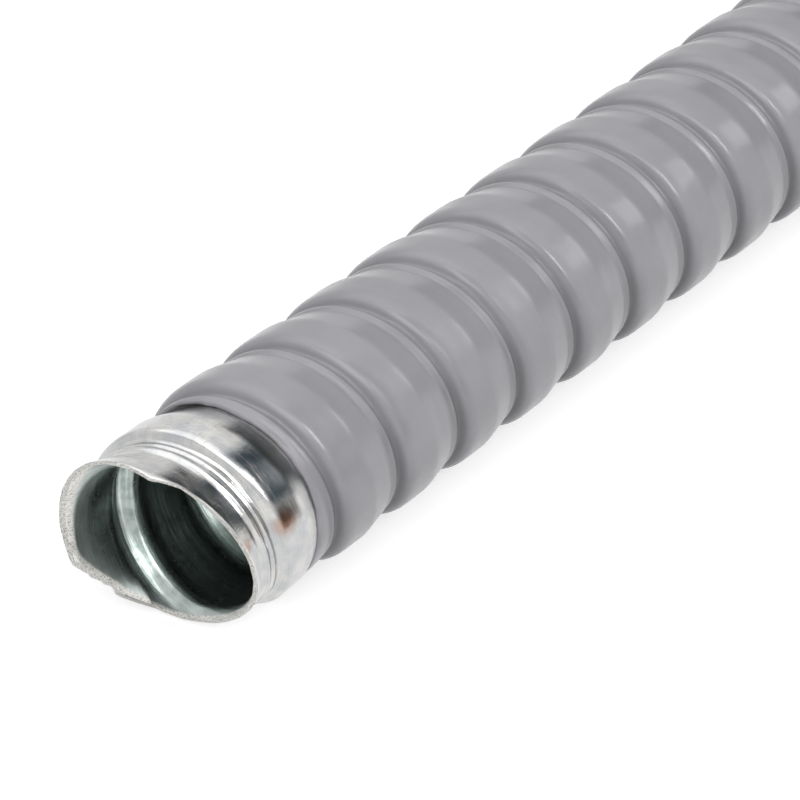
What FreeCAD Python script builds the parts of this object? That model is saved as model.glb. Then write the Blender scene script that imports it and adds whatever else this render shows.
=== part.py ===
import FreeCAD, Part
import math
import os

from FreeCAD import Vector

# A cut length of flexible metal conduit, lying on the floor with its axis along X.
# The near end is at -X: there the jacket is stripped back and the bare strip ends in a
# square cut with a slanted notch. The far end at +X is cut square. Sizes are in millimetres
# and degrees.

# Whole piece
stock_length = 305.0
pitch = 11.4
crest_radius = 13.2

# Jacket, measured from the axis
jacket_groove_depth = 1.05
jacket_wall = 0.5
layer_clearance = 0.1

# Wound strip of galvanised steel
strip_thickness = 0.45
steel_groove_depth = 1.15
lip_height = 0.2
seam_layers = 2

# Both layers have their full waves on both faces as far in from each end as this. Between,
# out of sight, a plain tube stands for the strip, and the jacket fills what it leaves.
true_length = 12.0
tube_step = 0.04

# Places along one pitch, as shares of the pitch from the foot of the steep flank
steep_flank_end = 0.045
crest_end = 0.39
gentle_flank_end = 0.77
lip_start = 0.8
lip_end = 0.87
lip_slope = 0.025
jacket_steep_start = 0.9
bore_flank_lag = 0.03
flank_clearance = 0.012

# Near end: places along the axis from the mouth, on the side that faces up and to -Y
shoulder_from_mouth = 9.0
jacket_from_shoulder = 6.9
shoulder_side_angle = 131.7

# Side angle, underneath and out of sight, at which each turn of the model's helices begins
seam_side_angle = 266.2

# Notch cut out of the mouth with snips: its long face and its short, steeper face. Each has
# its depth on the axis, its tilt and the side angle to which it falls away.
long_face_depth = 3.9
long_face_tilt = 18.2
long_face_side_angle = 232.0
short_face_depth = 3.6
short_face_tilt = 33.6
short_face_side_angle = 215.0

# Radii that follow
steel_crest_radius = crest_radius - jacket_wall - layer_clearance
steel_floor_radius = steel_crest_radius - steel_groove_depth
lip_radius = steel_floor_radius + lip_height
bore_radius = steel_floor_radius - seam_layers * strip_thickness
bore_groove_radius = steel_crest_radius - strip_thickness
jacket_floor_radius = crest_radius - jacket_groove_depth
jacket_bore_radius = jacket_floor_radius - jacket_wall
jacket_core_radius = jacket_bore_radius - tube_step
tube_radius = jacket_core_radius - layer_clearance
jacket_bore_crest_radius = crest_radius - jacket_wall

# Places along the axis that follow, from the mouth
jacket_start = shoulder_from_mouth + jacket_from_shoulder
tube_start = jacket_start + true_length
tube_end = stock_length - true_length
seam_from_shoulder = shoulder_side_angle - seam_side_angle
helix_start = shoulder_from_mouth - pitch * seam_from_shoulder / 360.0
block = 4.0 * crest_radius


def helix_edge(radius, start):
    """One turn of a right-hand helix about Z that begins on the +X side at the height start."""
    wire = Part.makeHelix(pitch, pitch, radius)
    wire.translate(Vector(0, 0, start))
    return wire.Edges[0]


def closed_solid(faces):
    """The solid that a closed set of faces bounds, right side out."""
    shell = Part.Compound(faces)
    shell.sewShape()
    solid = Part.makeSolid(shell.Shells[0])
    if solid.Volume < 0:
        solid.reverse()
    return solid


def screw_rod(profile, start, turns):
    """A solid rod whose surface is the profile of one pitch, wound on about the axis."""
    root_share, root_radius = profile[0]
    root = start + root_share * pitch
    stations = []
    for share, radius in profile:
        stations.append((start + share * pitch, radius))
    stations.append((root + pitch, root_radius))
    faces = []
    for turn in range(turns):
        helices = []
        for height, radius in stations:
            helices.append(helix_edge(radius, height + turn * pitch))
        for lower, upper in zip(helices[:-1], helices[1:]):
            faces.append(Part.makeRuledSurface(lower, upper))
    # Each end is closed by a helicoid that runs in to the axis and by one flat face.
    for end in (root, root + turns * pitch):
        axis = Part.makeLine(Vector(0, 0, end), Vector(0, 0, end + pitch))
        faces.append(Part.makeRuledSurface(helix_edge(root_radius, end), axis))
        corners = [Vector(0, 0, end)]
        for height, radius in stations:
            corners.append(Vector(radius, 0, height - root + end))
        corners.append(Vector(0, 0, end + pitch))
        corners.append(corners[0])
        faces.append(Part.Face(Part.makePolygon(corners)))
    return closed_solid(faces)


def first_turn(low):
    """The start of the last turn that ends a whole pitch or more below a height."""
    return helix_start - pitch * math.ceil((helix_start + 2.0 * pitch - low) / pitch)


def turns_between(start, high):
    """How many whole turns from a start cover everything up to a height."""
    return math.ceil((high - start) / pitch) + 1


def slab(low, high):
    """A square block across the whole piece, from one height on the axis to another."""
    return Part.makeBox(block, block, high - low, Vector(-block / 2, -block / 2, low))


def below_slope(depth, tilt, side_angle):
    """The block below a plane that crosses the axis at a depth and falls away to one side."""
    tool = slab(-2.0 * block, 0.0)
    side = math.radians(side_angle - seam_side_angle)
    tool.rotate(Vector(0, 0, 0), Vector(math.sin(side), -math.cos(side), 0), tilt)
    tool.translate(Vector(0, 0, depth))
    return tool


def wound(profile, low, high):
    """The stretch of a wound rod between two heights on the axis."""
    start = first_turn(low)
    rod = screw_rod(profile, start, turns_between(start, high))
    return rod.common(slab(low, high))


def cylinder(radius, low, high):
    """A plain round bar between two heights on the axis."""
    return Part.makeCylinder(radius, high - low, Vector(0, 0, low))


covered_steel_outside = [
    (0.0, steel_floor_radius),
    (steep_flank_end, steel_crest_radius),
    (crest_end, steel_crest_radius),
    (gentle_flank_end, steel_floor_radius),
]
seam_lip = [
    (lip_start, steel_floor_radius),
    (lip_start + lip_slope, lip_radius),
    (lip_end, lip_radius),
    (lip_end + lip_slope, steel_floor_radius),
]
bare_steel_outside = covered_steel_outside + seam_lip
steel_bore = [
    (bore_flank_lag, bore_radius),
    (steep_flank_end + bore_flank_lag, bore_groove_radius),
    (crest_end - bore_flank_lag, bore_groove_radius),
    (gentle_flank_end, bore_radius),
]
jacket_outside = [
    (0.0, crest_radius),
    (crest_end, crest_radius),
    (gentle_flank_end, jacket_floor_radius),
    (jacket_steep_start, jacket_floor_radius),
]
jacket_bore = [
    (-flank_clearance, jacket_bore_radius),
    (steep_flank_end - flank_clearance, jacket_bore_crest_radius),
    (crest_end + flank_clearance, jacket_bore_crest_radius),
    (gentle_flank_end + flank_clearance, jacket_bore_radius),
]

# Strip: bare and notched at the mouth, then covered, then a plain tube, then covered again
long_face = below_slope(long_face_depth, long_face_tilt, long_face_side_angle)
short_face = below_slope(short_face_depth, short_face_tilt, short_face_side_angle)
near_strip = wound(bare_steel_outside, 0.0, jacket_start)
near_strip = near_strip.fuse(wound(covered_steel_outside, jacket_start, tube_start))
near_strip = near_strip.cut(wound(steel_bore, -pitch, tube_start + pitch))
near_strip = near_strip.cut(long_face.common(short_face))
far_strip = wound(covered_steel_outside, tube_end, stock_length)
far_strip = far_strip.cut(wound(steel_bore, tube_end - pitch, stock_length + pitch))
tube = cylinder(tube_radius, tube_start, tube_end).cut(cylinder(bore_radius, tube_start, tube_end))
steel = near_strip.fuse([tube, far_strip])

# Jacket, whose rounded shoulders stand where those of the strip stand
jacket = wound(jacket_outside, jacket_start, stock_length)
jacket = jacket.cut(wound(jacket_bore, jacket_start - pitch, tube_start))
jacket = jacket.cut(cylinder(jacket_core_radius, tube_start, tube_end))
jacket = jacket.cut(wound(jacket_bore, tube_end, stock_length + pitch))

# Laid down along X, with the lowest crest on the floor and the middle over the origin
turn_seam = FreeCAD.Placement(Vector(0, 0, 0), FreeCAD.Rotation(Vector(0, 0, 1), seam_side_angle))
lay_down = FreeCAD.Matrix(0, 0, 1, -stock_length / 2, 1, 0, 0, 0, 0, 1, 0, crest_radius)

os.makedirs("parts", exist_ok=True)
for name, shape in (("steel_strip", steel), ("pvc_jacket", jacket)):
    placed = shape.copy()
    placed.Placement = FreeCAD.Placement(lay_down).multiply(turn_seam)
    placed.exportStep("parts/" + name + ".step")
    print(name, placed.isValid(), len(placed.Solids), round(placed.Volume, 1), placed.BoundBox)
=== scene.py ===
import bpy
import bmesh
import math
from mathutils import Matrix, Vector, noise


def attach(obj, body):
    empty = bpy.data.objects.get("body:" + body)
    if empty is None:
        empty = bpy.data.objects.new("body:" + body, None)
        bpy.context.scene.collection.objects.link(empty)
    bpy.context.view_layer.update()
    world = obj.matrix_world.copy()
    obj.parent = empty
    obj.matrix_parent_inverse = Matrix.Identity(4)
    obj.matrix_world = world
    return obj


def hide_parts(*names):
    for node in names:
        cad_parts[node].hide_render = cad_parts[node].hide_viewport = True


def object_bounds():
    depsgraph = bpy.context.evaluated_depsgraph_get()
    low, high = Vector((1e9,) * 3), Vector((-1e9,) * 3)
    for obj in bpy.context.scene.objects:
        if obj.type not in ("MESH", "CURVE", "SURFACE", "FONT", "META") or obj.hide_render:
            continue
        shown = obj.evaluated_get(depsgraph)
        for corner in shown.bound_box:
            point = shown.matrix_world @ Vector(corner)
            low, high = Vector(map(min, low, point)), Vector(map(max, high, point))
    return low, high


bl_info = {
    "name": "Coated Flexible Conduit",
    "version": (1, 0, 0),
    "blender": (4, 5, 0),
    "location": "3D View > Sidebar > Conduit",
    "description": "Wound steel strip and ribbed jacket of a cut length of flexible conduit",
    "category": "Object",
}

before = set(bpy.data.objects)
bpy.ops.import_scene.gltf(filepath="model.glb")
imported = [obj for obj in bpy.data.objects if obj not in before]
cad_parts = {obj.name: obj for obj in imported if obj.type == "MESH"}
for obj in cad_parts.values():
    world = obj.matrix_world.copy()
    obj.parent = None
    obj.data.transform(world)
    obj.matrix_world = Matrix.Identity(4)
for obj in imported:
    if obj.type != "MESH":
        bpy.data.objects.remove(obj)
CAD_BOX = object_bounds()
MOUTH_X = CAD_BOX[0][0]
FAR_X = CAD_BOX[1][0]
AXIS_Z = 0.0132


def side_direction(degrees):
    """Direction square to the axis at a side angle, counted from +Y over the top."""
    angle = math.radians(degrees)
    return Vector((0.0, math.cos(angle), math.sin(angle)))


DROP_SIDE = side_direction(221.7)   # to which the bare end hangs
FOLD_SIDE = side_direction(5.0)     # on which the cut edge is thickest

# Lengths below are in metres. The skins of a piece end a little inside the solid's ends.
END_GAP = 0.0001
STRIP_STEPS = 60                    # faces in one turn
JACKET_STEPS = 58
UV_RADIUS = 0.0126                  # radius at which U is true to size

# Cut edge of the strip
NOTCH_REACH = 0.02                  # further in there is no notch to cut
SHEET_END = 0.014                   # further in the edge isn't thinned
SHEET_REACH = 0.0014                # how far from the cut the inside is drawn out
SHEET_GAUGES = 1.2                  # thickness at the cut, in gauges of the strip
SHEET_FOLD_GAUGES = 0.9             # and how much more on the fold side
RIM_ROUNDING = 0.00011
RIM_WAVE = 0.00007
RIM_WAVE_SCALE = 1500.0
BURR_WIDTH = 0.00035
BURR_FOLD_WIDTH = 0.00065           # how much wider it is on the fold side
BURR_SPAN = 6.0                     # widths of the burr after which the mark stops rising

# Bare end: full bend up to 13 mm from the mouth and none from 19 mm on
BEND_END = 0.019
BEND_FADE = 0.006
BEND_DROP = 0.00028
BEND_GROWTH = 0.01
FLARE = 0.034
FLARE_START = 0.004
FLARE_FADE = 0.002

# Near edge of the jacket, and the deeper valley of its low side
RAGGED = 0.0002
RAGGED_SCALE = 420.0
RAGGED_REACH = 0.0012
HUG = 0.022
HUG_REACH = 0.003
EDGE_THINNING = 0.012
EDGE_INNER_RADIUS = 0.0122
EDGE_WALL = 0.0004
VALLEY_DEPTH = 0.00045
VALLEY_SHARE = 0.845
VALLEY_WIDTH = 0.075

# Colours that belong to one effect only
DRAWN_LINE = (0.30, 0.31, 0.32, 1.0)
SCORE = (0.22, 0.23, 0.24, 1.0)
# Brown stain, which also paints the reflection of a warm brown band
BROWN_STAIN_AND_REFLECTION = (0.36, 0.15, 0.06, 1.0)
BORE_DARK = (0.23, 0.28, 0.265, 1.0)
BORE_LINE = (0.82, 0.84, 0.83, 1.0)
BORE_MOUTH = (0.58, 0.62, 0.61, 1.0)
SPECK = (0.50, 0.49, 0.48, 1.0)
EDGE_SPECK = (0.33, 0.32, 0.31, 1.0)
JACKET_LINE = (0.36, 0.355, 0.375, 1.0)
# Painted shade for the jacket's grooves and their low side
PAINTED_GROOVE_SHADE = (0.12, 0.118, 0.125, 1.0)

# Studio
CAMERA_PLACE = (-0.448567, -0.272580, 0.319383)
CAMERA_TILT = 90.0 - 35.3123
CAMERA_TURN = -51.5615
CAMERA_LENS = 202.52
FLOOR_SIZE = 3.0
FLOOR_GREY = (0.58, 0.58, 0.58, 1.0)
FLOOR_GLOW = 0.64                   # for the camera and for reflections only
WORLD_LEVEL = 0.26
WORLD_GLOW = 0.74                   # added for the camera and for reflections
AIM = (MOUTH_X + 0.02, 0.0, AXIS_Z)  # the point that the lamps and the far card face
BESIDE = (-0.105, 0.0, AXIS_Z)      # the point of the axis that the two near cards face
UP = (0.0, 0.0, 1.0)
ACROSS = (0.0, -0.68, -0.73)
# Name, width, height, watts, place and the direction that the height follows
LAMPS = (
    ("key_softbox", 0.7, 0.7, 3.7, (-0.54, -0.30, 0.72), UP),
    ("front_lamp", 0.10, 0.32, 1.45, (-0.05, -0.53, 0.468), ACROSS),
    ("side_lamp", 0.22, 0.96, 5.5, (1.735, -1.243, 1.173), ACROSS),
    ("top_softbox", 1.1, 1.1, 3.3, (-0.10, 0.38, 0.93), UP),
)
# Name, width, height, place, the point that it faces and its colour
CARDS = (
    ("dark_card", 0.036, 0.066, (-0.105, -0.0365, 0.053), BESIDE, (0.02, 0.07, 0.12, 1.0)),
    ("warm_card", 0.036, 0.022, (-0.105, -0.0585, 0.016), BESIDE, (0.12, 0.085, 0.06, 1.0)),
    ("far_card", 1.8, 1.0, (1.25, -0.20, 0.52), AIM, (0.14, 0.16, 0.16, 1.0)),
)

# Places along one pitch as shares of the pitch from the foot of the steep flank, with the
# radius in millimetres there. All three surfaces use the same shares.
STRIP_OUTSIDE = (
    (0.0, 11.45), (0.018, 11.7), (0.034, 12.16), (0.052, 12.46), (0.08, 12.57),
    (0.125, 12.6), (0.25, 12.59), (0.365, 12.6), (0.4, 12.56), (0.44, 12.44),
    (0.52, 12.16), (0.6, 11.86), (0.68, 11.6), (0.74, 11.48), (0.797, 11.43),
    (0.812, 11.58), (0.826, 11.64), (0.846, 11.64), (0.86, 11.56), (0.873, 11.4),
    (0.915, 11.4), (0.926, 11.53), (0.938, 11.53), (0.95, 11.4), (0.98, 11.4),
)
STRIP_INSIDE = (
    (0.315, 12.02), (0.34, 12.1), (0.39, 12.1), (0.43, 12.04), (0.455, 11.94),
    (0.48, 11.78), (0.503, 11.56), (0.526, 11.3), (0.549, 11.04), (0.573, 10.82),
    (0.602, 10.65), (0.638, 10.57), (0.68, 10.6), (0.72, 10.72), (0.76, 10.87),
    (0.85, 10.9), (1.0, 10.9), (1.18, 10.9), (1.27, 10.93), (1.3, 11.0), (1.307, 11.12),
    (1.3, 11.35), (1.3, 11.7), (1.305, 11.92),
)
JACKET_OUTSIDE = (
    (0.01, 13.055), (0.035, 13.12), (0.065, 13.155), (0.1, 13.17), (0.16, 13.16),
    (0.25, 13.15), (0.325, 13.15), (0.362, 13.14), (0.392, 13.115), (0.42, 13.068),
    (0.448, 13.0), (0.49, 12.89), (0.555, 12.72), (0.62, 12.57), (0.68, 12.45),
    (0.712, 12.37), (0.733, 12.27), (0.75, 12.24), (0.766, 12.31), (0.782, 12.42),
    (0.8, 12.48), (0.818, 12.49), (0.834, 12.44), (0.848, 12.3), (0.858, 12.14),
    (0.878, 12.02), (0.898, 12.0), (0.914, 12.1), (0.93, 12.4), (0.949, 12.69),
    (0.968, 12.86), (0.988, 12.985),
)


class ConduitSizes(bpy.types.PropertyGroup):
    pitch: bpy.props.FloatProperty(
        name="Pitch", description="Distance from one rib to the next", default=0.0114,
        subtype="DISTANCE", unit="LENGTH")
    helix_start: bpy.props.FloatProperty(
        name="Helix start",
        description="Foot of the first steep flank on the +Y side, from the mouth",
        default=0.00482950, subtype="DISTANCE", unit="LENGTH")
    jacket_start: bpy.props.FloatProperty(
        name="Jacket start", description="Where the jacket begins, from the mouth",
        default=0.01605, subtype="DISTANCE", unit="LENGTH")
    jacket_slant: bpy.props.FloatProperty(
        name="Jacket slant",
        description="Slope of the jacket's knife-cut edge across the conduit", default=0.1)
    strip_gauge: bpy.props.FloatProperty(
        name="Strip gauge", description="Thickness of the steel strip", default=0.00045,
        subtype="DISTANCE", unit="LENGTH")
    jacket_wall: bpy.props.FloatProperty(
        name="Jacket wall", description="Thickness of the jacket", default=0.0005,
        subtype="DISTANCE", unit="LENGTH")
    long_face: bpy.props.FloatVectorProperty(
        name="Long face",
        description="Notch face: depth on the axis in metres, tilt and side angle in degrees",
        default=(0.0039, 18.2, 232.0), size=3)
    short_face: bpy.props.FloatVectorProperty(
        name="Short face",
        description="Notch face: depth on the axis in metres, tilt and side angle in degrees",
        default=(0.0036, 33.6, 215.0), size=3)


class ConduitColours(bpy.types.PropertyGroup):
    jacket_grey: bpy.props.FloatVectorProperty(
        name="Jacket grey", description="Colour of the coating", default=(0.316, 0.311, 0.333),
        size=3, subtype="COLOR", min=0.0, max=1.0)
    zinc: bpy.props.FloatVectorProperty(
        name="Zinc", description="Colour of the bright galvanised strip",
        default=(0.62, 0.61, 0.59),
        size=3, subtype="COLOR", min=0.0, max=1.0)
    zinc_dull: bpy.props.FloatVectorProperty(
        name="Dull zinc", description="Colour of the strip where it is dulled",
        default=(0.47, 0.48, 0.49),
        size=3, subtype="COLOR", min=0.0, max=1.0)
    # Greenish zinc of the bore, darker than the outside zinc as painted shade inside the tube
    shaded_zinc_inside: bpy.props.FloatVectorProperty(
        name="Zinc inside", description="Colour of the strip inside the bore",
        default=(0.42, 0.475, 0.455),
        size=3, subtype="COLOR", min=0.0, max=1.0)
    burr: bpy.props.FloatVectorProperty(
        name="Burr", description="Colour of the raw cut edge", default=(0.78, 0.77, 0.74),
        size=3, subtype="COLOR", min=0.0, max=1.0)


def helix_point(share, radius_mm, turn):
    """A profile point on the +Y side of the axis, where every turn of the helix begins."""
    sizes = bpy.context.scene.conduit_sizes
    x = MOUTH_X + sizes.helix_start + (share + turn) * sizes.pitch
    return (x, radius_mm / 1000.0, AXIS_Z)


def wind(bm, profile, low, high, steps):
    """Spins one turn of a profile about the axis and repeats it along X to cover a stretch."""
    sizes = bpy.context.scene.conduit_sizes
    first = math.floor((low - MOUTH_X - sizes.helix_start) / sizes.pitch) - 2
    turns = math.ceil((high - low) / sizes.pitch) + 4
    one = bmesh.new()
    points = [one.verts.new(helix_point(share, radius, first)) for share, radius in profile]
    points.append(one.verts.new(helix_point(profile[0][0] + 1.0, profile[0][1], first)))
    edges = [one.edges.new((a, b)) for a, b in zip(points[:-1], points[1:])]
    bmesh.ops.spin(
        one, geom=edges + points, cent=(0.0, 0.0, AXIS_Z), axis=(1.0, 0.0, 0.0),
        dvec=(sizes.pitch / steps, 0.0, 0.0), angle=2.0 * math.pi, steps=steps,
        use_merge=False, use_normal_flip=False, use_duplicate=False)
    turn = bpy.data.meshes.new("turn")
    one.to_mesh(turn)
    one.free()
    for _ in range(turns):
        bm.from_mesh(turn)
        turn.transform(Matrix.Translation((sizes.pitch, 0.0, 0.0)))
    bpy.data.meshes.remove(turn)
    bmesh.ops.remove_doubles(bm, verts=bm.verts, dist=2e-6)


def trim(bm, x, keep_above):
    """Cuts a mesh square at a place along X and keeps one side."""
    bmesh.ops.bisect_plane(
        bm, geom=list(bm.verts) + list(bm.edges) + list(bm.faces), dist=1e-7,
        plane_co=(x, 0.0, 0.0), plane_no=(1.0, 0.0, 0.0),
        clear_inner=keep_above, clear_outer=not keep_above)


def face_outwards(bm):
    """Turns the faces of an open skin about the axis so that they point away from it."""
    bmesh.ops.recalc_face_normals(bm, faces=bm.faces)
    score = 0.0
    for face in bm.faces:
        centre = face.calc_center_median()
        score += face.calc_area() * face.normal.dot(Vector((0.0, centre.y, centre.z - AXIS_Z)))
    if score < 0.0:
        bmesh.ops.reverse_faces(bm, faces=list(bm.faces))


def notch_plane(face):
    """A point on a notch face and its direction towards the steel that stays."""
    depth, tilt, side_angle = face
    tilt = math.radians(tilt)
    direction = Vector((math.cos(tilt), 0.0, 0.0)) - side_direction(side_angle) * math.sin(tilt)
    return Vector((MOUTH_X + depth, 0.0, AXIS_Z)), direction


def notch_heights(point):
    """Heights of a point above the long and short faces of the notch."""
    sizes = bpy.context.scene.conduit_sizes
    heights = []
    for face in (sizes.long_face, sizes.short_face):
        spot, direction = notch_plane(face)
        heights.append((Vector(point) - spot).dot(direction))
    return heights


def cut_notch(bm):
    """Cuts the two faces of the notch through a skin and takes out what lies below both."""
    sizes = bpy.context.scene.conduit_sizes
    for face in (sizes.long_face, sizes.short_face):
        spot, direction = notch_plane(face)
        near = [f for f in bm.faces if f.calc_center_median().x < MOUTH_X + NOTCH_REACH]
        verts = list(dict.fromkeys(v for f in near for v in f.verts))
        edges = list(dict.fromkeys(e for f in near for e in f.edges))
        bmesh.ops.bisect_plane(
            bm, geom=verts + edges + near, dist=1e-7, plane_co=spot, plane_no=direction)
    below = [f for f in bm.faces if max(notch_heights(f.calc_center_median())) < 0.0]
    bmesh.ops.delete(bm, geom=below, context="FACES")


def cut_distance(point):
    """How far a point of the strip is from the notched cut at the mouth."""
    return max(0.0, min(point.x - MOUTH_X, max(notch_heights(point))))


def share_of(point):
    """The share of the pitch, from the foot of the steep flank, where a point lies."""
    sizes = bpy.context.scene.conduit_sizes
    turn = math.atan2(point.z - AXIS_Z, point.y) / (2.0 * math.pi)
    return ((point.x - MOUTH_X - sizes.helix_start) / sizes.pitch - turn) % 1.0


def outside_radius(point):
    """Radius of the strip's outside at the share of the pitch where a point lies."""
    share = share_of(point)
    stations = list(STRIP_OUTSIDE) + [(1.0, STRIP_OUTSIDE[0][1])]
    for (low, start), (high, end) in zip(stations[:-1], stations[1:]):
        if share <= high:
            return (start + (end - start) * (share - low) / (high - low)) / 1000.0
    return stations[-1][1] / 1000.0


def thin_edge(bm):
    """Draws the inside out towards the outside near the cut, where only the sheet shows."""
    sizes = bpy.context.scene.conduit_sizes
    for vertex in bm.verts:
        if vertex.co.x > MOUTH_X + SHEET_END:
            continue
        reach = cut_distance(vertex.co) / SHEET_REACH
        if reach >= 1.0:
            continue
        radial = Vector((0.0, vertex.co.y, vertex.co.z - AXIS_Z))
        folded = max(0.0, radial.normalized().dot(FOLD_SIDE)) ** 2
        gauges = SHEET_GAUGES + SHEET_FOLD_GAUGES * folded
        wanted = outside_radius(vertex.co) - sizes.strip_gauge * gauges
        if radial.length < wanted:
            share = (1.0 - reach) ** 2 * (1.0 + 2.0 * reach)
            vertex.co += radial.normalized() * (wanted - radial.length) * share


def strip_skin(profile, steps, inwards):
    """One face of the strip from the notched mouth to the square far end."""
    bm = bmesh.new()
    wind(bm, profile, MOUTH_X, FAR_X, steps)
    trim(bm, MOUTH_X + END_GAP, True)
    trim(bm, FAR_X - END_GAP, False)
    cut_notch(bm)
    face_outwards(bm)
    if inwards:
        bmesh.ops.reverse_faces(bm, faces=list(bm.faces))
        thin_edge(bm)
    skin = bpy.data.meshes.new("skin")
    bm.to_mesh(skin)
    bm.free()
    return skin


def close_rims(bm, material_index):
    """Joins the open edges of the outside and the inside at each end with a rim."""
    rims = []
    for near in (True, False):
        edges = [e for e in bm.edges if e.is_boundary and (e.verts[0].co.x < 0.0) == near]
        made = bmesh.ops.bridge_loops(bm, edges=edges)
        for face in made["faces"]:
            face.material_index = material_index
            face.smooth = True
        rims.extend(made["faces"])
    return rims


def roughen_rim(bm, rims):
    """Rounds the two edges of a cut rim and gives the near one the waves of a snipped edge."""
    known = set(rims)
    corners = [e for e in bm.edges if len({f in known for f in e.link_faces}) == 2]
    made = bmesh.ops.bevel(
        bm, geom=corners, offset=RIM_ROUNDING, offset_type="OFFSET", affect="EDGES",
        segments=2, profile=0.5, material=2, clamp_overlap=True)
    faces = made["faces"] + [f for f in rims if f.is_valid]
    for vertex in {v for f in faces for v in f.verts}:
        if vertex.co.x < 0.0:
            vertex.co += noise.noise_vector(vertex.co * RIM_WAVE_SCALE) * RIM_WAVE
            vertex.co.x = max(vertex.co.x, MOUTH_X)


def bend_mouth(bm):
    """Sets the bare end a little to one side, as it hangs out of the jacket, and flares it."""
    for vertex in bm.verts:
        place = vertex.co
        depth = place.x - MOUTH_X
        if depth > BEND_END:
            continue
        radial = Vector((0.0, place.y, place.z - AXIS_Z))
        bare = min(1.0, (BEND_END - depth) / BEND_FADE)
        low_side = max(0.0, radial.normalized().dot(DROP_SIDE)) ** 2
        flare = FLARE * math.exp(-max(depth - FLARE_START, 0.0) / FLARE_FADE) * low_side
        place += (radial * (BEND_GROWTH + flare) + DROP_SIDE * BEND_DROP) * bare


def lay_uv(mesh):
    """Gives a wound piece a UV map in metres: U runs along the helix and V across the strip."""
    sizes = bpy.context.scene.conduit_sizes
    pitch = sizes.pitch
    layer = mesh.uv_layers.new(name="run")
    length = 2.0 * math.pi * UV_RADIUS
    for poly in mesh.polygons:
        centre = poly.center
        angle = math.atan2(centre.z - AXIS_Z, centre.y) / (2.0 * math.pi)
        across = (centre.x - MOUTH_X - sizes.helix_start) / pitch - angle
        turn = math.floor(across)
        for index in poly.loop_indices:
            place = mesh.vertices[mesh.loops[index].vertex_index].co
            here = math.atan2(place.z - AXIS_Z, place.y) / (2.0 * math.pi)
            if here - angle > 0.5:
                here -= 1.0
            if here - angle < -0.5:
                here += 1.0
            share = (place.x - MOUTH_X - sizes.helix_start) / pitch - here - turn
            layer.data[index].uv = ((turn + here) * length, share * pitch)


def mark_cut(mesh):
    """Stores each point's distance from the cut at the mouth in widths of the burr."""
    layer = mesh.attributes.new(name="cut", type="FLOAT", domain="POINT")
    for index, vertex in enumerate(mesh.vertices):
        radial = Vector((0.0, vertex.co.y, vertex.co.z - AXIS_Z)).normalized()
        width = BURR_WIDTH + BURR_FOLD_WIDTH * max(0.0, radial.dot(FOLD_SIDE)) ** 2
        layer.data[index].value = min(cut_distance(vertex.co) / width, BURR_SPAN)


def finish_piece(bm, name, node, materials):
    """Makes the object of a finished bmesh, with its materials, and sets it in the frame."""
    mesh = bpy.data.meshes.new(name)
    bm.to_mesh(mesh)
    bm.free()
    mesh.shade_smooth()
    lay_uv(mesh)
    piece = bpy.data.objects.new(name, mesh)
    bpy.context.scene.collection.objects.link(piece)
    for material in materials:
        mesh.materials.append(material)
    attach(piece, "root")
    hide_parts(node)
    return piece


def new_material(name):
    """A material with its node tree and its Principled shader."""
    material = bpy.data.materials.new(name)
    material.use_nodes = True
    tree = material.node_tree
    return material, tree, tree.nodes["Principled BSDF"]


def link(tree, source, target):
    """Joins two sockets."""
    tree.links.new(source, target)


def feed(tree, socket, value):
    """Links a socket to another one or gives it a plain value."""
    if isinstance(value, bpy.types.NodeSocket):
        link(tree, value, socket)
    else:
        socket.default_value = value


def node(tree, kind, place, **values):
    """Adds a node and sets its inputs and properties by name."""
    made = tree.nodes.new(kind)
    made.location = place
    for name, value in values.items():
        if name in made.inputs.keys():
            made.inputs[name].default_value = value
        else:
            setattr(made, name, value)
    return made


def maths(tree, place, operation, *values):
    """A Math node whose inputs are fed in order by sockets or plain numbers."""
    made = node(tree, "ShaderNodeMath", place, operation=operation)
    for socket, value in zip(made.inputs, values):
        feed(tree, socket, value)
    return made.outputs[0]


def blend_colour(tree, place, factor, first, second):
    """A colour mix fed by sockets or plain colours."""
    made = node(tree, "ShaderNodeMix", place, data_type="RGBA")
    for index, value in ((0, factor), (6, first), (7, second)):
        feed(tree, made.inputs[index], value)
    return made.outputs[2]


def ramp(tree, place, source, low, high):
    """Maps a value smoothly from 0 at one level to 1 at another."""
    made = node(tree, "ShaderNodeMapRange", place, interpolation_type="SMOOTHSTEP")
    made.inputs["From Min"].default_value = low
    made.inputs["From Max"].default_value = high
    link(tree, source, made.inputs["Value"])
    return made.outputs["Result"]


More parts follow.
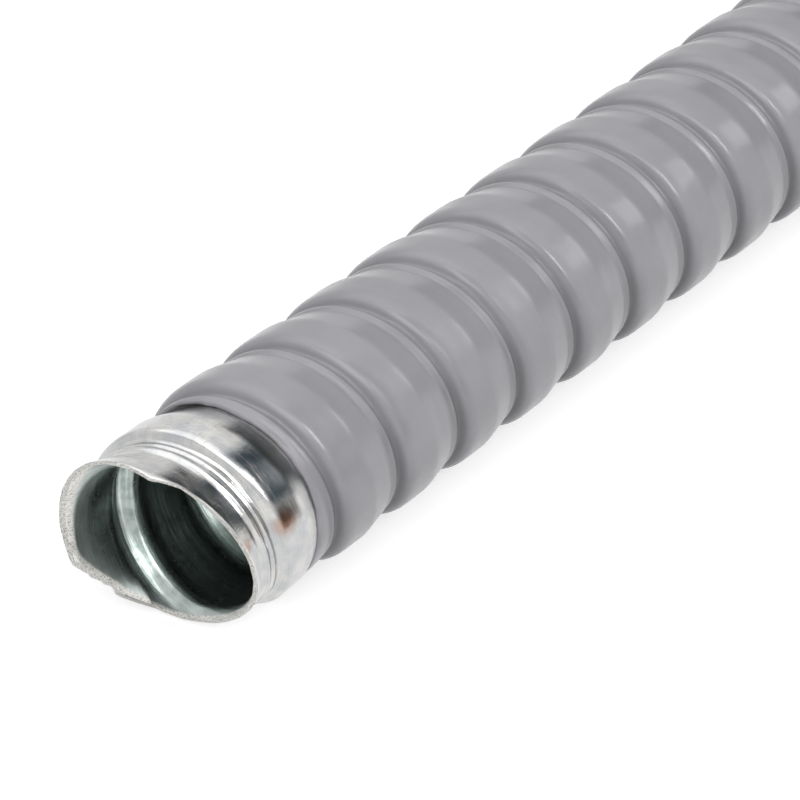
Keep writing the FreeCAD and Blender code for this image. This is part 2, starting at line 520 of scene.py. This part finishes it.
def drawn_lines_group():
    """Node group with the fine lines, soft blotches and grain of a drawn or rolled strip."""
    group = bpy.data.node_groups.get("drawn_lines")
    if group:
        return group
    group = bpy.data.node_groups.new("drawn_lines", "ShaderNodeTree")
    face = group.interface
    for name, kind, value in (
        ("Run", "NodeSocketVector", None), ("Place", "NodeSocketVector", None),
        ("Line Width", "NodeSocketFloat", 0.00012), ("Line Length", "NodeSocketFloat", 0.012),
        ("Blotch Size", "NodeSocketFloat", 0.003), ("Grain Size", "NodeSocketFloat", 0.0002),
    ):
        socket = face.new_socket(name=name, in_out="INPUT", socket_type=kind)
        if value is not None:
            socket.default_value = value
    for name in ("Lines", "Blotches", "Grain", "Height"):
        face.new_socket(name=name, in_out="OUTPUT", socket_type="NodeSocketFloat")
    enter = node(group, "NodeGroupInput", (-1000, 0))
    leave = node(group, "NodeGroupOutput", (800, 0))
    split = node(group, "ShaderNodeSeparateXYZ", (-800, 200))
    link(group, enter.outputs["Run"], split.inputs[0])
    along = maths(group, (-600, 300), "DIVIDE", split.outputs[0], enter.outputs["Line Length"])
    across = maths(group, (-600, 100), "DIVIDE", split.outputs[1], enter.outputs["Line Width"])
    joined = node(group, "ShaderNodeCombineXYZ", (-400, 200))
    link(group, along, joined.inputs[0])
    link(group, across, joined.inputs[1])
    lines = node(group, "ShaderNodeTexNoise", (-200, 300), Scale=1.0, Detail=3.0, Roughness=0.6)
    link(group, joined.outputs[0], lines.inputs["Vector"])
    blotch_scale = maths(group, (-400, -50), "DIVIDE", 1.0, enter.outputs["Blotch Size"])
    blotches = node(group, "ShaderNodeTexNoise", (-200, 0), Detail=4.0, Roughness=0.55)
    link(group, enter.outputs["Place"], blotches.inputs["Vector"])
    link(group, blotch_scale, blotches.inputs["Scale"])
    grain_scale = maths(group, (-400, -300), "DIVIDE", 1.0, enter.outputs["Grain Size"])
    grain = node(group, "ShaderNodeTexNoise", (-200, -300), Detail=2.0, Roughness=0.5)
    link(group, enter.outputs["Place"], grain.inputs["Vector"])
    link(group, grain_scale, grain.inputs["Scale"])
    ridges = maths(group, (100, 100), "MULTIPLY", lines.outputs["Fac"], 0.6)
    height = maths(group, (300, 0), "MULTIPLY_ADD", grain.outputs["Fac"], 0.4, ridges)
    link(group, lines.outputs["Fac"], leave.inputs["Lines"])
    link(group, blotches.outputs["Fac"], leave.inputs["Blotches"])
    link(group, grain.outputs["Fac"], leave.inputs["Grain"])
    link(group, height, leave.inputs["Height"])
    return group


def lines_on(tree, place, **values):
    """Places the drawn-lines group with the piece's own UV map and Object coordinates."""
    uv = node(tree, "ShaderNodeUVMap", (-1600, 200), uv_map="run")
    coords = node(tree, "ShaderNodeTexCoord", (-1600, -100))
    made = node(tree, "ShaderNodeGroup", place, node_tree=drawn_lines_group())
    for name, value in values.items():
        made.inputs[name.replace("_", " ")].default_value = value
    link(tree, uv.outputs["UV"], made.inputs["Run"])
    link(tree, coords.outputs["Object"], made.inputs["Place"])
    return made


def bump(tree, shader, height, strength, distance):
    """Gives a shader the fine relief of a height."""
    made = node(tree, "ShaderNodeBump", (-300, -400), Strength=strength, Distance=distance)
    link(tree, height, made.inputs["Height"])
    link(tree, made.outputs["Normal"], shader.inputs["Normal"])


def soft_spot(tree, place, centre, radius):
    """A soft round mask about a point of the piece, in metres."""
    coords = node(tree, "ShaderNodeTexCoord", (place[0] - 400, place[1]))
    gap = node(tree, "ShaderNodeVectorMath", (place[0] - 200, place[1]), operation="DISTANCE")
    gap.inputs[1].default_value = centre
    link(tree, coords.outputs["Object"], gap.inputs[0])
    return ramp(tree, place, gap.outputs["Value"], radius, radius * 0.25)


def steel_material():
    """Bright zinc outside the strip, with drawn lines, cross scratches and a brown stain patch
    that also paints a brown reflection.
    """
    colours = bpy.context.scene.conduit_colours
    material, tree, shader = new_material("galvanised_steel")
    marks = lines_on(
        tree, (-1300, 100), Line_Width=0.00010, Line_Length=0.010, Blotch_Size=0.0035)
    blotches = marks.outputs["Blotches"]
    tint = blend_colour(
        tree, (-900, 300), ramp(tree, (-1100, 300), blotches, 0.35, 0.68),
        tuple(colours.zinc) + (1.0,), tuple(colours.zinc_dull) + (1.0,))
    lines = ramp(tree, (-1100, 100), marks.outputs["Lines"], 0.35, 0.75)
    lines = maths(tree, (-900, 100), "MULTIPLY", lines, 0.35)
    tint = blend_colour(tree, (-700, 200), lines, tint, DRAWN_LINE)
    scores = lines_on(tree, (-1300, -900), Line_Width=0.003, Line_Length=0.00016)
    scored = ramp(tree, (-1100, -900), scores.outputs["Lines"], 0.56, 0.72)
    scored = maths(tree, (-900, -900), "MULTIPLY", scored, 0.4)
    tint = blend_colour(tree, (-600, 300), scored, tint, SCORE)
    # A brown stain by the mouth, which also stands for a painted reflection of a warm brown band.
    stain_and_reflection = maths(
        tree, (-900, -200), "MAXIMUM",
        soft_spot(tree, (-1100, -200), (-0.1408, -0.0117, 0.0171), 0.0022),
        soft_spot(tree, (-1100, -400), (-0.1471, -0.0108, 0.0168), 0.0016))
    patchy = ramp(tree, (-900, -400), blotches, 0.4, 0.6)
    stain_and_reflection = maths(tree, (-700, -200), "MULTIPLY", stain_and_reflection, patchy)
    stain_and_reflection = maths(tree, (-600, -200), "MULTIPLY", stain_and_reflection, 0.75)
    tint = blend_colour(tree, (-500, 100), stain_and_reflection, tint, BROWN_STAIN_AND_REFLECTION)
    cut = node(tree, "ShaderNodeAttribute", (-1100, -650), attribute_name="cut")
    edge = ramp(tree, (-900, -650), cut.outputs["Fac"], 0.9, 0.2)
    burr = maths(tree, (-500, -500), "MULTIPLY", edge, 0.7)
    tint = blend_colour(tree, (-300, 100), burr, tint, tuple(colours.burr) + (1.0,))
    link(tree, tint, shader.inputs["Base Color"])
    shader.inputs["Metallic"].default_value = 1.0
    shader.inputs["Anisotropic"].default_value = 0.3
    dull = maths(tree, (-700, -50), "MULTIPLY_ADD", blotches, 0.18, 0.04)
    rough = maths(tree, (-300, -100), "MULTIPLY_ADD", edge, 0.25, dull)
    link(tree, rough, shader.inputs["Roughness"])
    height = maths(
        tree, (-700, -900), "MULTIPLY_ADD", scores.outputs["Lines"], 0.5, marks.outputs["Height"])
    bump(tree, shader, height, 0.6, 0.00005)
    return material


def bore_material():
    """Dull, greenish zinc inside the strip, darker than the outside as painted shade of the bore,
    paler and speckled towards the cut.
    """
    colours = bpy.context.scene.conduit_colours
    material, tree, shader = new_material("steel_bore")
    marks = lines_on(
        tree, (-1300, 100), Line_Width=0.00035, Line_Length=0.012, Blotch_Size=0.0022)
    blotches = marks.outputs["Blotches"]
    # The bore's zinc is darker than the outside zinc as painted shade.
    tint = blend_colour(
        tree, (-900, 300), ramp(tree, (-1100, 300), blotches, 0.35, 0.65),
        tuple(colours.shaded_zinc_inside) + (1.0,), BORE_DARK)
    lines = ramp(tree, (-1100, 100), marks.outputs["Lines"], 0.4, 0.8)
    lines = maths(tree, (-900, 100), "MULTIPLY", lines, 0.5)
    tint = blend_colour(tree, (-700, 200), lines, tint, BORE_LINE)
    cut = node(tree, "ShaderNodeAttribute", (-1100, -650), attribute_name="cut")
    mouth = ramp(tree, (-900, -1000), cut.outputs["Fac"], 5.5, 1.0)
    paler = maths(tree, (-700, -1000), "MULTIPLY", mouth, 0.6)
    tint = blend_colour(tree, (-600, 300), paler, tint, BORE_MOUTH)
    grain = ramp(tree, (-900, -450), marks.outputs["Grain"], 0.36, 0.5)
    specks = blend_colour(tree, (-700, -400), grain, SPECK, tuple(colours.burr) + (1.0,))
    edge = ramp(tree, (-900, -650), cut.outputs["Fac"], 1.3, 0.7)
    tint = blend_colour(tree, (-500, 100), edge, tint, specks)
    link(tree, tint, shader.inputs["Base Color"])
    shader.inputs["Metallic"].default_value = 0.97
    veil = maths(tree, (-600, -900), "MULTIPLY_ADD", mouth, 0.22, 0.12)
    dull = maths(tree, (-500, -100), "MULTIPLY_ADD", blotches, 0.24, veil)
    rough = maths(tree, (-300, -100), "MULTIPLY_ADD", edge, 0.3, dull)
    link(tree, rough, shader.inputs["Roughness"])
    height = maths(
        tree, (-700, -800), "MULTIPLY_ADD", blotches, 0.25, marks.outputs["Lines"])
    bump(tree, shader, height, 0.6, 0.00009)
    return material


def cut_material():
    """Raw, rough metal of the rim that the snips have left."""
    colours = bpy.context.scene.conduit_colours
    material, tree, shader = new_material("snipped_edge")
    marks = lines_on(tree, (-1300, 100), Grain_Size=0.00014, Blotch_Size=0.0009)
    specks = ramp(tree, (-1100, 300), marks.outputs["Grain"], 0.38, 0.58)
    tint = blend_colour(
        tree, (-900, 300), specks, EDGE_SPECK, tuple(colours.burr) + (1.0,))
    link(tree, tint, shader.inputs["Base Color"])
    shader.inputs["Metallic"].default_value = 0.6
    shader.inputs["Roughness"].default_value = 0.45
    bump(tree, shader, marks.outputs["Grain"], 0.8, 0.00015)
    return material


def jacket_material():
    """Grey PVC with soft dents, faint lines along the helix, and painted shade that darkens the
    grooves, most on the low side.
    """
    colours = bpy.context.scene.conduit_colours
    grey = tuple(colours.jacket_grey) + (1.0,)
    dusk = tuple(c * 0.92 for c in colours.jacket_grey) + (1.0,)
    material, tree, shader = new_material("grey_pvc")
    marks = lines_on(
        tree, (-1300, 100), Line_Width=0.0006, Line_Length=0.03, Blotch_Size=0.006,
        Grain_Size=0.0003)
    blotches = marks.outputs["Blotches"]
    tint = blend_colour(
        tree, (-900, 300), ramp(tree, (-1100, 300), blotches, 0.3, 0.72), grey, dusk)
    lines = ramp(tree, (-1100, 100), marks.outputs["Lines"], 0.5, 0.85)
    lines = maths(tree, (-900, 100), "MULTIPLY", lines, 0.2)
    tint = blend_colour(tree, (-700, 200), lines, tint, JACKET_LINE)

    # The share of the pitch comes from V, and the low side from the place on the piece.
    uv = node(tree, "ShaderNodeUVMap", (-1500, -300), uv_map="run")
    coords = node(tree, "ShaderNodeTexCoord", (-1500, -700))
    split = node(tree, "ShaderNodeSeparateXYZ", (-1300, -300))
    link(tree, uv.outputs["UV"], split.inputs[0])
    pitch = bpy.context.scene.conduit_sizes.pitch
    share = maths(tree, (-1100, -300), "DIVIDE", split.outputs[1], pitch)
    share = maths(tree, (-1000, -300), "FRACT", share)
    low = node(tree, "ShaderNodeVectorMath", (-1100, -900), operation="DOT_PRODUCT")
    low.inputs[1].default_value = DROP_SIDE
    link(tree, coords.outputs["Object"], low.inputs[0])
    # Painted shade: the crease of each groove is darkened in colour, and the valley on the low
    # side more.
    groove_shade = maths(
        tree, (-700, -300), "MULTIPLY", ramp(tree, (-900, -250), share, 0.80, 0.87),
        ramp(tree, (-900, -400), share, 0.96, 0.91))
    low_side_shade = maths(
        tree, (-700, -500), "MULTIPLY", ramp(tree, (-900, -550), share, 0.66, 0.86),
        ramp(tree, (-900, -900), low.outputs["Value"], -0.0085, 0.0005))
    low_side_shade = maths(
        tree, (-600, -500), "MULTIPLY", low_side_shade, ramp(tree, (-900, -1100), share, 0.97, 0.90))
    low_side_shade = maths(tree, (-500, -600), "MULTIPLY", low_side_shade, 0.5)
    painted_shade = maths(tree, (-500, -400), "MULTIPLY_ADD", groove_shade, 0.3, low_side_shade)
    tint = blend_colour(tree, (-400, 100), painted_shade, tint, PAINTED_GROOVE_SHADE)
    link(tree, tint, shader.inputs["Base Color"])
    rough = maths(tree, (-500, -100), "MULTIPLY_ADD", blotches, 0.06, 0.22)
    link(tree, rough, shader.inputs["Roughness"])
    shader.inputs["Specular IOR Level"].default_value = 0.5
    dents = node(tree, "ShaderNodeTexNoise", (-900, -700), Scale=170.0, Detail=0.5)
    link(tree, coords.outputs["Object"], dents.inputs["Vector"])
    bump(tree, shader, dents.outputs["Fac"], 0.25, 0.0008)
    return material


class CONDUIT_OT_strip(bpy.types.Operator):
    """Build the wound steel strip with its inner fold and its snipped mouth"""
    bl_idname = "conduit.strip"
    bl_label = "Steel strip"

    def execute(self, context):
        bm = bmesh.new()
        outside = strip_skin(STRIP_OUTSIDE, STRIP_STEPS, False)
        inside = strip_skin(STRIP_INSIDE, STRIP_STEPS, True)
        for skin, index in ((outside, 0), (inside, 1)):
            for poly in skin.polygons:
                poly.material_index = index
            bm.from_mesh(skin)
            bpy.data.meshes.remove(skin)
        rims = close_rims(bm, 2)
        roughen_rim(bm, rims)
        bend_mouth(bm)
        piece = finish_piece(
            bm, "wound_strip", "steel_strip",
            (steel_material(), bore_material(), cut_material()))
        mark_cut(piece.data)
        return {"FINISHED"}


class CONDUIT_OT_jacket(bpy.types.Operator):
    """Build the ribbed jacket that the strip is pulled into"""
    bl_idname = "conduit.jacket"
    bl_label = "Ribbed jacket"

    def execute(self, context):
        sizes = context.scene.conduit_sizes
        low = MOUTH_X + sizes.jacket_start
        slant = Vector((1.0, sizes.jacket_slant, 0.0)).normalized()
        bm = bmesh.new()
        wind(bm, JACKET_OUTSIDE, low, FAR_X, JACKET_STEPS)
        bmesh.ops.bisect_plane(
            bm, geom=list(bm.verts) + list(bm.edges) + list(bm.faces), dist=1e-7,
            plane_co=(low, 0.0, 0.0), plane_no=slant, clear_inner=True)
        trim(bm, FAR_X - END_GAP, False)
        face_outwards(bm)
        bmesh.ops.solidify(bm, geom=list(bm.faces), thickness=sizes.jacket_wall)
        for vertex in bm.verts:
            place = vertex.co
            place.x = min(place.x, FAR_X)
            depth = place.x - low + sizes.jacket_slant * place.y
            fade = max(0.0, 1.0 - depth / RAGGED_REACH)
            wave = Vector((0.0, place.y * RAGGED_SCALE, place.z * RAGGED_SCALE))
            place.x += fade * RAGGED * noise.noise(wave)
            depth = place.x - low + sizes.jacket_slant * place.y
            hug = max(0.0, 1.0 - depth / HUG_REACH)
            radial = Vector((0.0, place.y, place.z - AXIS_Z))
            outer = max(0.0, min(1.0, (radial.length - EDGE_INNER_RADIUS) / EDGE_WALL))
            place -= radial * (HUG * hug + EDGE_THINNING * fade * outer)
            valley = math.exp(-((share_of(place) - VALLEY_SHARE) / VALLEY_WIDTH) ** 2)
            low_side = max(0.0, radial.normalized().dot(DROP_SIDE)) ** 2
            place -= radial.normalized() * (VALLEY_DEPTH * valley * (1.0 - hug) * low_side)
        finish_piece(bm, "ribbed_jacket", "pvc_jacket", (jacket_material(),))
        return {"FINISHED"}


def add_lamp(name, width, height, energy, place, along):
    """A softbox that faces the bare end, with its height along a direction."""
    lamp = bpy.data.lights.new(name, "AREA")
    lamp.shape = "RECTANGLE"
    lamp.size = width
    lamp.size_y = height
    lamp.energy = energy
    holder = bpy.data.objects.new(name, lamp)
    bpy.context.scene.collection.objects.link(holder)
    holder.location = place
    holder.visible_camera = False
    back = (Vector(place) - Vector(AIM)).normalized()
    side = Vector(along).cross(back).normalized()
    holder.rotation_euler = Matrix((side, back.cross(side), back)).transposed().to_euler()


def stage_sheet(name, width, height, colour, roughness):
    """A flat matt sheet that belongs to the stage, with its node tree and its shader."""
    bm = bmesh.new()
    bmesh.ops.create_grid(bm, x_segments=1, y_segments=1, size=0.5)
    bmesh.ops.scale(bm, vec=(width, height, 1.0), verts=bm.verts)
    mesh = bpy.data.meshes.new(name)
    bm.to_mesh(mesh)
    bm.free()
    sheet = bpy.data.objects.new(name, mesh)
    bpy.context.scene.collection.objects.link(sheet)
    material, tree, shader = new_material(name)
    mesh.materials.append(material)
    shader.inputs["Base Color"].default_value = colour
    shader.inputs["Roughness"].default_value = roughness
    shader.inputs["Specular IOR Level"].default_value = 0.0
    return sheet, tree, shader


def add_card(name, width, height, place, aim, colour):
    """A card that only reflections see, as the dark side of a studio."""
    card, tree, shader = stage_sheet(name, width, height, colour, 1.0)
    card.location = place
    card.rotation_euler = (Vector(aim) - Vector(place)).to_track_quat("-Z", "Y").to_euler()
    for ray in ("camera", "diffuse", "transmission", "volume_scatter", "shadow"):
        setattr(card, "visible_" + ray, False)


def seen_directly(tree):
    """Mask of the rays that come from the camera or out of a reflection or a clear body."""
    rays = node(tree, "ShaderNodeLightPath", (-900, -200))
    seen = maths(
        tree, (-600, -200), "MAXIMUM", rays.outputs["Is Camera Ray"],
        rays.outputs["Is Glossy Ray"])
    return maths(tree, (-400, -200), "MAXIMUM", seen, rays.outputs["Is Transmission Ray"])


class CONDUIT_OT_stage(bpy.types.Operator):
    """Set the floor, the soft lamps, the cards that the metal reflects and the camera"""
    bl_idname = "conduit.stage"
    bl_label = "Stage"

    def execute(self, context):
        scene = context.scene
        scene.view_settings.view_transform = "Standard"
        lens = bpy.data.cameras.new("camera")
        lens.sensor_width = 36.0
        lens.lens = CAMERA_LENS
        lens.clip_start = 0.01
        camera = bpy.data.objects.new("camera", lens)
        scene.collection.objects.link(camera)
        camera.location = CAMERA_PLACE
        camera.rotation_euler = (math.radians(CAMERA_TILT), 0.0, math.radians(CAMERA_TURN))
        scene.camera = camera

        width = 2.0 * FLOOR_SIZE
        floor, tree, shader = stage_sheet("floor", width, width, FLOOR_GREY, 0.9)
        shader.inputs["Emission Color"].default_value = (1.0, 1.0, 1.0, 1.0)
        glow = maths(tree, (-150, -200), "MULTIPLY", seen_directly(tree), FLOOR_GLOW)
        link(tree, glow, shader.inputs["Emission Strength"])

        world = bpy.data.worlds.new("studio")
        scene.world = world
        world.use_nodes = True
        tree = world.node_tree
        back = tree.nodes["Background"]
        back.inputs["Color"].default_value = (1.0, 1.0, 1.0, 1.0)
        level = maths(
            tree, (-200, 0), "MULTIPLY_ADD", seen_directly(tree), WORLD_GLOW, WORLD_LEVEL)
        link(tree, level, back.inputs["Strength"])

        for lamp in LAMPS:
            add_lamp(*lamp)
        for card in CARDS:
            add_card(*card)
        return {"FINISHED"}


class CONDUIT_PT_panel(bpy.types.Panel):
    """Lists the sizes, the colours and the building steps"""
    bl_idname = "CONDUIT_PT_panel"
    bl_label = "Flexible conduit"
    bl_space_type = "VIEW_3D"
    bl_region_type = "UI"
    bl_category = "Conduit"

    def draw(self, context):
        layout = self.layout
        scene = context.scene
        for group in (scene.conduit_sizes, scene.conduit_colours):
            box = layout.box()
            for name in group.bl_rna.properties.keys():
                if name not in ("rna_type", "name"):
                    box.prop(group, name)
        for step in ("strip", "jacket", "stage"):
            layout.operator("conduit." + step)


CLASSES = (
    ConduitSizes,
    ConduitColours,
    CONDUIT_OT_strip,
    CONDUIT_OT_jacket,
    CONDUIT_OT_stage,
    CONDUIT_PT_panel,
)


def register():
    for cls in CLASSES:
        bpy.utils.register_class(cls)
    bpy.types.Scene.conduit_sizes = bpy.props.PointerProperty(type=ConduitSizes)
    bpy.types.Scene.conduit_colours = bpy.props.PointerProperty(type=ConduitColours)


def unregister():
    del bpy.types.Scene.conduit_colours
    del bpy.types.Scene.conduit_sizes
    for cls in reversed(CLASSES):
        bpy.utils.unregister_class(cls)


def main():
    register()
    bpy.ops.conduit.strip()
    bpy.ops.conduit.jacket()
    bpy.ops.conduit.stage()


if __name__ == "__main__":
    main()
